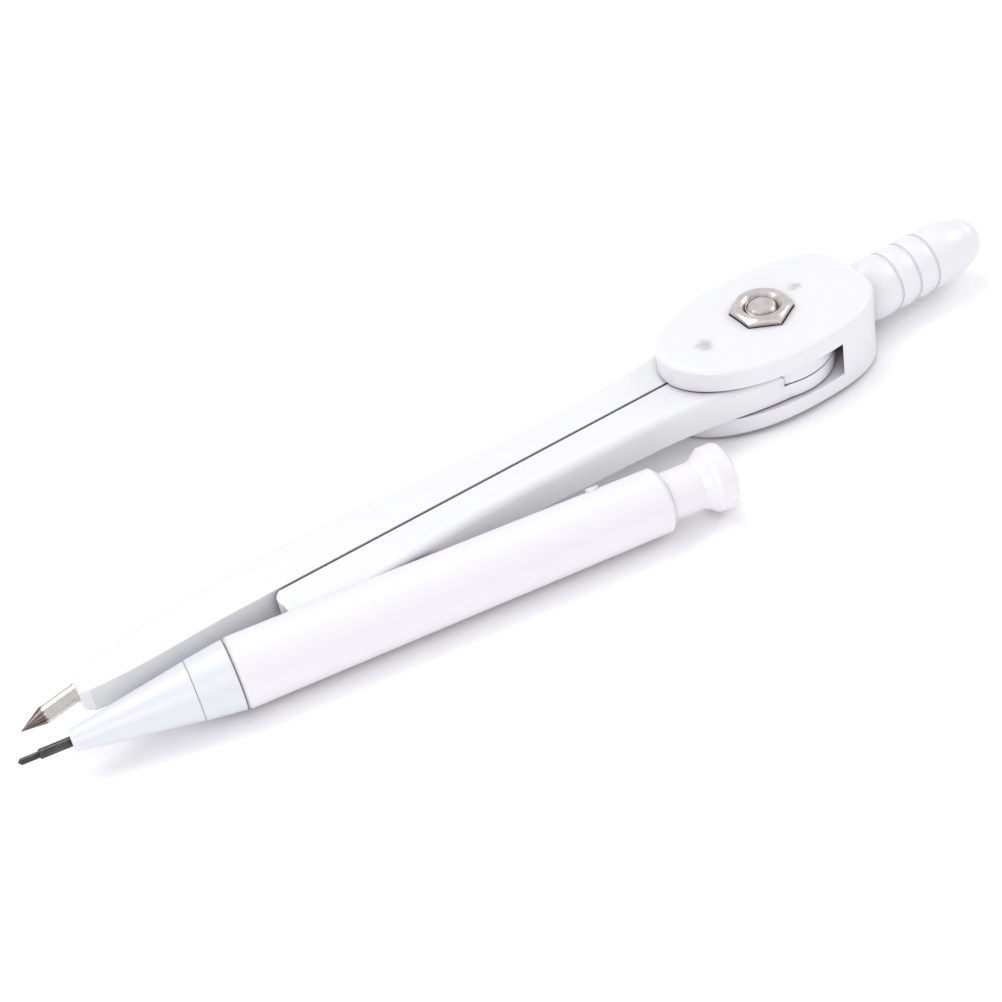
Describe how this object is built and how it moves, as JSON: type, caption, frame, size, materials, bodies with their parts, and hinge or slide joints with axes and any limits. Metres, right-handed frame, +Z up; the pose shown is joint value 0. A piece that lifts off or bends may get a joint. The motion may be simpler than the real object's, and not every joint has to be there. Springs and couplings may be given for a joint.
{
  "type": "drawing compass",
  "caption": "Folding drawing compass: yoke head with ringed handle, needle leg and a leg that carries a clutch pencil.",
  "frame": {"origin": "middle of the footprint, on the plane that the closed compass lies on", "axes": "+X from the points to the handle, +Y to the needle leg's side, +Z up along the hinge screw"},
  "size_m": [0.1392, 0.029, 0.0118],
  "materials": {
    "white_plastic": "white moulded styrene, soft gloss",
    "nickel": "bright nickel plate",
    "fibre": "vulcanised fibre",
    "needle_steel": "ground steel",
    "dark_steel": "drawn steel tube, darkened",
    "black_rubber": "soft rubber",
    "brass": "turned brass",
    "spring_steel": "drawn spring wire",
    "natural_plastic": "unpigmented polypropylene",
    "graphite": "polymer graphite lead"
  },
  "bodies": {
    "head": {"head_yoke": "white_plastic", "handle_grip": "white_plastic", "hinge_screw": "nickel", "hex_nut": "nickel", "front_washer": "fibre", "middle_washer": "fibre", "rear_washer": "fibre"},
    "needle_leg": {"needle_leg": "white_plastic", "needle_point": "needle_steel"},
    "pencil_leg": {"pencil_arm": "white_plastic", "pencil_barrel": "white_plastic", "grip_collar": "white_plastic", "nose_cone": "white_plastic", "lead_sleeve": "dark_steel", "lead_retainer": "black_rubber", "clutch_ring": "brass", "chuck_spring": "spring_steel"},
    "button": {"push_button": "white_plastic", "lead_reservoir": "natural_plastic", "chuck_connector": "natural_plastic", "chuck_jaws": "brass", "spare_leads": "graphite"},
    "lead": {"writing_lead": "graphite"}
  },
  "joints": [
    {"name": "needle_leg_hinge", "type": "hinge", "parent": "head", "child": "needle_leg", "pos_m": [0.0347, 0.00517, 0.00538], "axis": [0, 0, -1], "range_deg": [0, 70]},
    {"name": "pencil_leg_hinge", "type": "hinge", "parent": "head", "child": "pencil_leg", "pos_m": [0.0347, 0.00517, 0.00538], "axis": [0, 0, 1], "range_deg": [0, 70]},
    {"name": "button_press", "type": "slide", "parent": "pencil_leg", "child": "button", "axis": [-0.9871, 0.1599, 0], "range_m": [0, 0.004], "stiffness_N_per_m": 400, "springref_m": -0.002, "deforming": ["chuck_spring"]},
    {"name": "lead_feed", "type": "slide", "parent": "pencil_leg", "child": "lead", "axis": [-0.9871, 0.1599, 0], "range_m": [0, 0.001]}
  ],
  "couplings": [
    {"joint": "lead_feed", "follows": "button_press", "ratio": 0.25}
  ]
}
